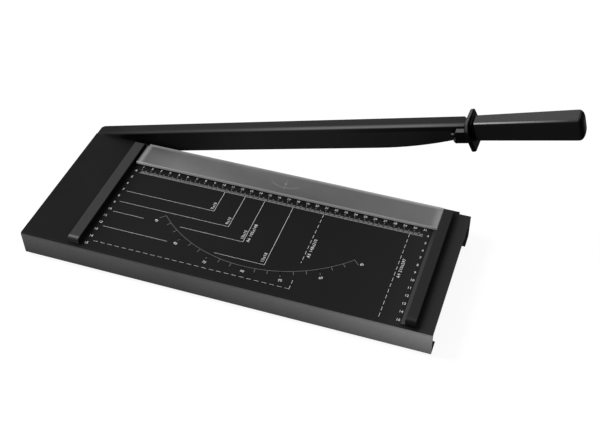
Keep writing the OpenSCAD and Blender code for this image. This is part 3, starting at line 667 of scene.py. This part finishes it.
# %% Stop nose
NOSE_TOP, NOSE_LOW, NOSE_OUT, NOSE_IN = 10.8, -2.0, -6.0, -0.05
STEP_Z, NOSE_ROUND = 1.3, 0.5
side_view = [(383.4, NOSE_LOW), (398.0, NOSE_LOW), (396.2, NOSE_TOP), (385.0, NOSE_TOP),
             (383.7, STEP_Z), (381.6, STEP_Z)]
nose = bevelled_prism("stop_nose_moulded", side_view, NOSE_OUT, NOSE_IN, NOSE_ROUND,
                      on_lever, nose_plastic)
print("nose", round(NOSE_TOP - NOSE_LOW, 1), "mm tall")

# %% Stop screw in the nose
SCREW_D, SCREW_FROM, SCREW_TO, SCREW_EDGE = 3.8, 379.9, 385.6, 0.35
SCREW_Y, SCREW_Z = -3.0, 5.6
around = [math.radians(15 * k) for k in range(24)]
turned = [(SCREW_D / 2 - SCREW_EDGE, SCREW_FROM), (SCREW_D / 2, SCREW_FROM + SCREW_EDGE),
          (SCREW_D / 2, SCREW_TO)]
screw_rings = [[(x, SCREW_Y + r * math.cos(a), SCREW_Z + r * math.sin(a)) for a in around]
               for r, x in turned]
stop_screw = closed_rings("stop_screw", screw_rings, on_lever, nose_plastic)

# %% The moulded pieces take their places
for piece, node in ((hand_plate, "hand_guard"), (hub, "hand_guard"), (nose, "stop_nose"),
                    (stop_screw, "nose_screw")):
    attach(piece, "lever")
    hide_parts(node)
print("moulded pieces:", hand_plate.name, hub.name, nose.name, stop_screw.name)

# %% [markdown]
# ## Screws, bolt, feet and bush
# The small parts are zinc-plated steel with faint streaks, the bush is plain
# bronze, and the feet are matt rubber. Most of them show only from below or
# behind, but they need a real finish too.


# %% Metal and rubber finishes
def plated(name, tone, spread, roughness):
    finish, tree, shader, place, normal = start_finish(name)
    dark = tuple(v * (1 - spread) for v in tone)
    wire(tree, speckle(tree, place, 0.0012, dark, tone), shader.inputs["Base Color"])
    shader.inputs["Metallic"].default_value = 1.0
    worn_roughness(tree, shader, place, roughness - 0.06, roughness + 0.06)
    grain_bump(tree, shader, place, 0.0003, 0.000004)
    return finish


zinc_plate = plated("zinc_plate", (0.56, 0.57, 0.58), 0.12, 0.34)
bush_bronze = plated("bush_bronze", (0.55, 0.36, 0.19), 0.15, 0.38)
dress(zinc_plate, "counter_knife_screws", "rail_screws", "pivot_plate",
      "pivot_bolt", "outer_washer", "inner_washer", "spring_washer", "pivot_nut",
      "blade_screws", "handle_tang", "tang_screws", "grip_screw")
dress(bush_bronze, "pivot_bush")

black_cap, tree, shader, place, normal = start_finish("black_cap_screw")
wire(tree, speckle(tree, place, 0.0006, grey(62), grey(74)), shader.inputs["Base Color"])
shader.inputs["Specular IOR Level"].default_value = 0.3
worn_roughness(tree, shader, place, 0.35, 0.5)
dress(black_cap, "nose_screw", "guard_screws")

foot_rubber, tree, shader, place, normal = start_finish("foot_rubber")
wire(tree, speckle(tree, place, 0.0005, grey(18), grey(24)), shader.inputs["Base Color"])
surface(tree, shader, place, 0.2, (0.75, 0.9), 0.0005, 0.00002)
dress(foot_rubber, "foot_front_left", "foot_front_right", "foot_rear_left", "foot_rear_right")
print("small parts finished")

# %% [markdown]
# ## Printing ink
# The scales are screen-printed in pale grey ink. Ink lies on the paint as a
# film a few hundredths of a millimetre thick, so each print is a very thin
# solid on the table. Screen print is never quite even, so a fine noise varies
# its grey. The print is laid out in millimetres from the ruler's zero and from
# the line of the cut.


# %% Ink
def ink(name, dark, light):
    finish, tree, shader, place, normal = start_finish(name)
    wire(tree, speckle(tree, place, 0.0007, grey(dark), grey(light)),
         shader.inputs["Base Color"])
    shader.inputs["Specular IOR Level"].default_value = 0.2
    worn_roughness(tree, shader, place, 0.5, 0.65)
    return finish


bright_ink = ink("bright_ink", 196, 214)
soft_ink = ink("soft_ink", 128, 146)
faint_ink = ink("faint_ink", 96, 110)
print("three inks ready")

# %% Where the print lies
MM = 0.001
TABLE_TOP = 0.030
FILM, SUNK = 0.00004, 0.00001
FILM_DEPTH = FILM + SUNK
FILM_MIDDLE = TABLE_TOP + (FILM - SUNK) / 2
ZERO_X, CUT_Y = -0.1425, 0.0816


def on_table(from_zero, from_cut):
    """A point of the print, in millimetres right of zero and in front of the cut."""
    return Vector((ZERO_X + from_zero * MM, CUT_Y - from_cut * MM, 0.0))


print("zero of the ruler at x =", ZERO_X)

# %% [markdown]
# ## Repeated marks with Geometry Nodes
# A ruler's marks repeat at an even pitch, so one node tree makes them all: a
# line of points, and a small box on each point. Its inputs are the count, the
# pitch and the size of a mark. The tree ends in Realize Instances and Set
# Material. The same tree makes the dashes of the dashed lines.


# %% The mark tree
def start_tree(name, inputs):
    """A tree with one geometry output and the named inputs."""
    tree = bpy.data.node_groups.new(name, "GeometryNodeTree")
    tree.interface.new_socket("Geometry", in_out="OUTPUT", socket_type="NodeSocketGeometry")
    for label, kind in inputs:
        tree.interface.new_socket(label, in_out="INPUT", socket_type="NodeSocket" + kind)
    return tree, add(tree, "NodeGroupInput")


def boxes_on(tree, inputs, points, turn=None):
    """An inked box on each point, turned about the upright axis if asked."""
    mark = add(tree, "GeometryNodeMeshCube")
    wire(tree, inputs.outputs["Size"], mark.inputs["Size"])
    place = add(tree, "GeometryNodeInstanceOnPoints")
    wire(tree, points, place.inputs["Points"])
    wire(tree, mark.outputs["Mesh"], place.inputs["Instance"])
    if turn is not None:
        turned = add(tree, "ShaderNodeCombineXYZ")
        wire(tree, turn, turned.inputs["Z"])
        wire(tree, turned.outputs[0], place.inputs["Rotation"])
    real = add(tree, "GeometryNodeRealizeInstances")
    wire(tree, place.outputs["Instances"], real.inputs["Geometry"])
    coat = add(tree, "GeometryNodeSetMaterial")
    wire(tree, real.outputs["Geometry"], coat.inputs["Geometry"])
    wire(tree, inputs.outputs["Ink"], coat.inputs["Material"])
    output = add(tree, "NodeGroupOutput")
    wire(tree, coat.outputs["Geometry"], output.inputs["Geometry"])


def mark_tree():
    tree, inputs = start_tree("row_of_marks", (
        ("Count", "Int"), ("Step", "Vector"), ("Start", "Vector"), ("Size", "Vector"),
        ("Ink", "Material")))
    line = add(tree, "GeometryNodeMeshLine", mode="OFFSET")
    wire(tree, inputs.outputs["Count"], line.inputs["Count"])
    wire(tree, inputs.outputs["Start"], line.inputs["Start Location"])
    wire(tree, inputs.outputs["Step"], line.inputs["Offset"])
    boxes_on(tree, inputs, line.outputs["Mesh"])
    return tree


row_of_marks = mark_tree()
print("row_of_marks:", [i.name for i in row_of_marks.interface.items_tree])


# %% Run a tree and keep the result as a plain mesh
def run_tree(name, tree, values):
    carrier = bpy.data.objects.new(name, bpy.data.meshes.new(name))
    bpy.context.scene.collection.objects.link(carrier)
    modifier = carrier.modifiers.new("marks", "NODES")
    modifier.node_group = tree
    sockets = {i.name: i.identifier for i in tree.interface.items_tree if i.in_out == "INPUT"}
    for key, value in values.items():
        modifier[sockets[key]] = value
    ready = carrier.evaluated_get(bpy.context.evaluated_depsgraph_get())
    mesh = bpy.data.meshes.new_from_object(ready)
    carrier.modifiers.remove(modifier)
    carrier.data = mesh
    return carrier


def marks(name, count, start, step, size, finish):
    """count boxes; the first is centred on start, each next one a step on."""
    return run_tree(name, row_of_marks, {
        "Count": count, "Start": (start.x, start.y, FILM_MIDDLE), "Step": step,
        "Size": (*size, FILM_DEPTH), "Ink": finish})


def join(name, parts):
    """Several plain meshes as one, with their materials kept."""
    bpy.ops.object.select_all(action="DESELECT")
    for part in parts:
        part.select_set(True)
    bpy.context.view_layer.objects.active = parts[0]
    bpy.ops.object.join()
    parts[0].name = name
    parts[0].data.name = name
    return parts[0]


print("marks can be made")

# %% [markdown]
# ## Numbers and size labels
# Each number is a text object with a little depth, made a mesh before it is
# laid on the table, so that its place is in its mesh. The font is the plain
# one that Blender holds.

# %% Numbers as thin solids
CAPITAL_SHARE = 0.7
STROKE_SHARE = 0.012


def number(text, centre, height, turn, finish, spacing=1.0):
    """Text centred on a point, with its reading direction turned from +X."""
    curve = bpy.data.curves.new("label", "FONT")
    curve.body = text
    curve.size = height / CAPITAL_SHARE
    curve.space_character = spacing
    curve.extrude = FILM_DEPTH / 2
    curve.resolution_u = 2
    curve.offset = height * STROKE_SHARE
    curve.align_x = "CENTER"
    curve.align_y = "CENTER"
    letter = bpy.data.objects.new("label", curve)
    bpy.context.scene.collection.objects.link(letter)
    ready = letter.evaluated_get(bpy.context.evaluated_depsgraph_get())
    mesh = bpy.data.meshes.new_from_object(ready)
    bpy.data.objects.remove(letter)
    mesh.transform(Matrix.Translation((centre.x, centre.y, FILM_MIDDLE))
                   @ Matrix.Rotation(turn, 4, "Z"))
    mesh.materials.clear()
    mesh.materials.append(finish)
    solid = bpy.data.objects.new("label", mesh)
    bpy.context.scene.collection.objects.link(solid)
    return solid


print("numbers can be made")

# %% [markdown]
# ## The ruler
# The ruler runs along the front of the guard. A long base line carries a mark
# at every millimetre, longer ones at five and ten, and the numbers stand
# between the ten-millimetre marks and the guard.

# %% Ruler
BASE_LINE, BASE_WIDTH = 44.4, 0.75
RULER_FROM, RULER_TO, FIRST_MARK = 9.3, 309.5, 10
NUMBERS_AT, NUMBER_H = 35.2, 2.6
ruler = [marks("base_line", 1, on_table((RULER_FROM + RULER_TO) / 2, BASE_LINE), (0, 0, 0),
               ((RULER_TO - RULER_FROM) * MM, BASE_WIDTH * MM), soft_ink)]
for pitch, length, width in ((1, 3.0, 0.48), (5, 4.8, 0.5), (10, 6.6, 0.45)):
    count = int((RULER_TO - FIRST_MARK) / pitch) + 1
    ruler.append(marks("ticks", count, on_table(FIRST_MARK, BASE_LINE - length / 2),
                       (pitch * MM, 0, 0), (width * MM, length * MM), soft_ink))
for centimetre in range(1, 32):
    ruler.append(number(str(centimetre), on_table(centimetre * 10, NUMBERS_AT),
                        NUMBER_H * MM, 0.0, bright_ink))
ruler_print = join("ruler_print", ruler)
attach(ruler_print, "table")
print("ruler faces:", len(ruler_print.data.polygons))

# %% Side scales
SIDE_NUMBER_H = 2.8
side = []
for column in (4.7, 314.4):
    for centimetre in range(4, 16):
        side.append(number(str(centimetre), on_table(column, centimetre * 10 + 2.6),
                           SIDE_NUMBER_H * MM, 0.0, bright_ink))
side_scales = join("side_scales", side)
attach(side_scales, "table")
print("side scale faces:", len(side_scales.data.polygons))

# %% [markdown]
# ## Paper formats
# Each format is a corner: one line in front and one at its right, at the true
# size of the format from the zero of the ruler and from the cut. The lines
# leave a gap where the angle scale crosses them. The two largest formats are
# dashed.

# %% Lines and dashes
ACROSS, DEEP = 0.27, 0.36
formats = []


def line_across(start, end, from_cut):
    formats.append(marks("line", 1, on_table((start + end) / 2, from_cut), (0, 0, 0),
                         ((end - start) * MM, ACROSS * MM), bright_ink))


def line_deep(from_zero, start, end):
    formats.append(marks("line", 1, on_table(from_zero, (start + end) / 2), (0, 0, 0),
                         (DEEP * MM, (end - start) * MM), bright_ink))


def dashes_across(start, end, from_cut, dash=4.6, gap=2.93):
    count = int((end - start + gap) / (dash + gap))
    formats.append(marks("dashes", count, on_table(start + dash / 2, from_cut),
                         ((dash + gap) * MM, 0, 0), (dash * MM, ACROSS * MM), bright_ink))


def dashes_deep(from_zero, start, end, dash=4.6, gap=2.86):
    count = int((end - start + gap) / (dash + gap))
    formats.append(marks("dashes", count, on_table(from_zero, start + dash / 2),
                         (0, -(dash + gap) * MM, 0), (DEEP * MM, dash * MM), bright_ink))


print("lines", ACROSS, "and", DEEP, "mm wide")

# %% Format corners and labels
LEFT = 9.3
LABEL_H, LABEL_SPACING = 3.0, 1.2
for wide, deep, breaks in ((105, 74, []), (127, 90, []), (148, 105, [(42.9, 82.0)]),
                           (178, 127, [(78.3, 127.0)])):
    begin = LEFT
    for stop, again in breaks:
        line_across(begin, stop, deep)
        begin = again
    line_across(begin, wide + DEEP / 2, deep)
    line_deep(wide, BASE_LINE, deep)
dashes_across(10.1, 212, 148.2)
dashes_deep(210, 45.2, 114.0)
line_deep(210, 112.3, 114.3)
dashes_deep(210, 137.2, 148.4, 4.2, 2.6)
dashes_deep(297, 45.2, 157.5)
for text, from_zero, from_cut in (("7x10", 102.2, 67.0), ("9x13", 124.0, 82.3),
                                  ("10x15", 145.5, 95.6), ("13x18", 174.6, 118.0),
                                  ("A6 105x148", 152.2, 91.3), ("A5 148x210", 214.0, 92.8),
                                  ("A4 210x297", 301.1, 91.4)):
    formats.append(number(text, on_table(from_zero, from_cut), LABEL_H * MM,
                          math.radians(90), bright_ink, LABEL_SPACING))
format_lines = join("format_lines", formats)
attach(format_lines, "table")
print("format faces:", len(format_lines.data.polygons))

# %% [markdown]
# ## The angle scale
# Two arcs share one centre near the cut: a large one on the open table, with
# a mark every five degrees and a number every fifteen, and a small one under
# the clear guard. A second node tree bends a ring of points round the centre
# and turns each mark to point outwards.


# %% The arc tree
def arc_tree():
    tree, inputs = start_tree("marks_on_arc", (
        ("Centre", "Vector"), ("Radius", "Float"), ("First Angle", "Float"),
        ("Angle Step", "Float"), ("Count", "Int"), ("Size", "Vector"), ("Ink", "Material")))
    points = add(tree, "GeometryNodeMeshLine", mode="OFFSET")
    wire(tree, inputs.outputs["Count"], points.inputs["Count"])
    index = add(tree, "GeometryNodeInputIndex")
    angle = math_node(tree, "MULTIPLY_ADD", index.outputs[0], inputs.outputs["Angle Step"])
    wire(tree, inputs.outputs["First Angle"], angle.node.inputs[2])
    ring = add(tree, "ShaderNodeCombineXYZ")
    for axis, wave in (("X", "COSINE"), ("Y", "SINE")):
        share = math_node(tree, wave, angle)
        wire(tree, math_node(tree, "MULTIPLY", share, inputs.outputs["Radius"]),
             ring.inputs[axis])
    moved = add(tree, "ShaderNodeVectorMath", operation="ADD")
    wire(tree, ring.outputs[0], moved.inputs[0])
    wire(tree, inputs.outputs["Centre"], moved.inputs[1])
    set_place = add(tree, "GeometryNodeSetPosition")
    wire(tree, points.outputs["Mesh"], set_place.inputs["Geometry"])
    wire(tree, moved.outputs[0], set_place.inputs["Position"])
    boxes_on(tree, inputs, set_place.outputs["Geometry"], angle)
    return tree


marks_on_arc = arc_tree()
print("marks_on_arc:", [i.name for i in marks_on_arc.interface.items_tree])

# %% Arcs of marks
ARC_CENTRE = on_table(159.8, -2.5)
ARC_R = 137.2
ARC_FROM, ARC_SPAN = -135, 90


def arc_marks(name, radius, first_deg, step_deg, count, length, width, finish):
    return run_tree(name, marks_on_arc, {
        "Centre": (ARC_CENTRE.x, ARC_CENTRE.y, FILM_MIDDLE), "Radius": radius * MM,
        "First Angle": math.radians(first_deg), "Angle Step": math.radians(step_deg),
        "Count": count, "Size": (length * MM, width * MM, FILM_DEPTH), "Ink": finish})


def arc_line(name, radius, width, finish, step_deg=1.0):
    """A line round the centre, made of short straight pieces."""
    count = int(ARC_SPAN / step_deg)
    chord = 2 * radius * math.tan(math.radians(step_deg) / 2)
    return arc_marks(name, radius, ARC_FROM + step_deg / 2, step_deg, count, width, chord,
                     finish)


print("arc centre", tuple(round(v, 4) for v in ARC_CENTRE))

# %% Angle scale
TICK_5, TICK_15, TICK_WIDTH = 4.8, 7.2, 0.5
ARC_WIDTH, ANGLE_H = 0.4, 2.8
scale = [arc_line("arc", ARC_R, ARC_WIDTH, faint_ink),
         arc_marks("ticks_5", ARC_R + TICK_5 / 2, ARC_FROM + 5, 5, 17, TICK_5, TICK_WIDTH,
                   faint_ink),
         arc_marks("ticks_15", ARC_R + TICK_15 / 2, ARC_FROM, 15, 7, TICK_15, TICK_WIDTH,
                   faint_ink)]
for text, degrees, radius in (("45", -134.3, 148.4), ("60", -119.4, 148.6),
                              ("75", -104.4, 148.5), ("90", -89.5, 143.6),
                              ("75", -74.8, 148.7), ("60", -60.2, 148.4),
                              ("45", -43.8, 145.6)):
    angle = math.radians(degrees)
    spot = ARC_CENTRE + Vector((math.cos(angle), math.sin(angle), 0)) * radius * MM
    scale.append(number(text, spot, ANGLE_H * MM, math.radians(degrees + 90), bright_ink))
scale.append(arc_line("small_arc", 23.2, ARC_WIDTH, faint_ink, 3.0))
scale.append(marks("centre_dot", 1, on_table(159.6, 15.1), (0, 0, 0),
                   (0.9 * MM, 0.9 * MM), soft_ink))
angle_scale = join("angle_scale", scale)
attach(angle_scale, "table")
print("angle scale faces:", len(angle_scale.data.polygons))

# %% [markdown]
# ## Floor, world and lamps
# The floor and the world are plain and pale. To the camera, and in mirrors
# and through the guard, they show white, while their light on the object stays
# at a plain level. The floor's own colour is still lit, so the cutter keeps
# its shadow there. One large soft lamp stands high at the left rear and a
# weak one low at the front right.

# %% World
AMBIENT = 0.5
world = bpy.data.worlds.new("pale_room")
bpy.context.scene.world = world
world.use_nodes = True
tree = world.node_tree
background = tree.nodes["Background"]
background.inputs["Color"].default_value = (1.0, 1.0, 1.0, 1.0)


def seen_directly(tree):
    """1 for what the camera sees, also in a reflection or through the guard."""
    rays = add(tree, "ShaderNodeLightPath")
    return math_node(tree, "MAXIMUM", rays.outputs["Is Camera Ray"],
                     math_node(tree, "MAXIMUM", rays.outputs["Is Glossy Ray"],
                               rays.outputs["Is Transmission Ray"]))


wire(tree, ramp(tree, seen_directly(tree), 0.0, 1.0, AMBIENT, 1.0),
     background.inputs["Strength"])
print("world light", AMBIENT, "on the object, 1 to the camera")

# %% Floor
FLOOR_HALF = 6.0
FLOOR_GREY, FLOOR_GLOW = 0.12, 0.91
corners = [(-FLOOR_HALF, -FLOOR_HALF, 0), (FLOOR_HALF, -FLOOR_HALF, 0),
           (FLOOR_HALF, FLOOR_HALF, 0), (-FLOOR_HALF, FLOOR_HALF, 0)]
floor_mesh = bpy.data.meshes.new("floor")
floor_mesh.from_pydata(corners, [], [(0, 1, 2, 3)])
floor = bpy.data.objects.new("floor", floor_mesh)
bpy.context.scene.collection.objects.link(floor)
pale = bpy.data.materials.new("pale_floor")
pale.use_nodes = True
tree = pale.node_tree
tree.nodes.remove(tree.nodes["Principled BSDF"])
matt = add(tree, "ShaderNodeBsdfDiffuse")
matt.inputs["Color"].default_value = (FLOOR_GREY, FLOOR_GREY, FLOOR_GREY, 1.0)
glow = add(tree, "ShaderNodeEmission")
glow.inputs["Color"].default_value = (1.0, 1.0, 1.0, 1.0)
wire(tree, math_node(tree, "MULTIPLY", seen_directly(tree), FLOOR_GLOW),
     glow.inputs["Strength"])
both = add(tree, "ShaderNodeAddShader")
wire(tree, matt.outputs[0], both.inputs[0])
wire(tree, glow.outputs[0], both.inputs[1])
wire(tree, both.outputs[0], tree.nodes["Material Output"].inputs["Surface"])
floor_mesh.materials.append(pale)
print("floor", 2 * FLOOR_HALF, "m wide")


# %% Lamps
def lamp(name, place, target, width, height, watts):
    data = bpy.data.lights.new(name, "AREA")
    data.shape = "RECTANGLE"
    data.size, data.size_y = width, height
    data.energy = watts
    light = bpy.data.objects.new(name, data)
    bpy.context.scene.collection.objects.link(light)
    look = (Vector(target) - Vector(place)).to_track_quat("-Z", "Y")
    light.matrix_world = Matrix.Translation(place) @ look.to_matrix().to_4x4()
    print(name, "at", place, watts, "W")


lamp("key", (-1.9, -0.15, 2.3), (0.0, 0.0, 0.03), 1.15, 1.15, 71.0)
lamp("front_fill", (0.7, -1.3, 0.35), (0.05, 0.0, 0.05), 0.9, 0.5, 2.0)

# %% Finish
bpy.context.scene.view_settings.view_transform = "Standard"
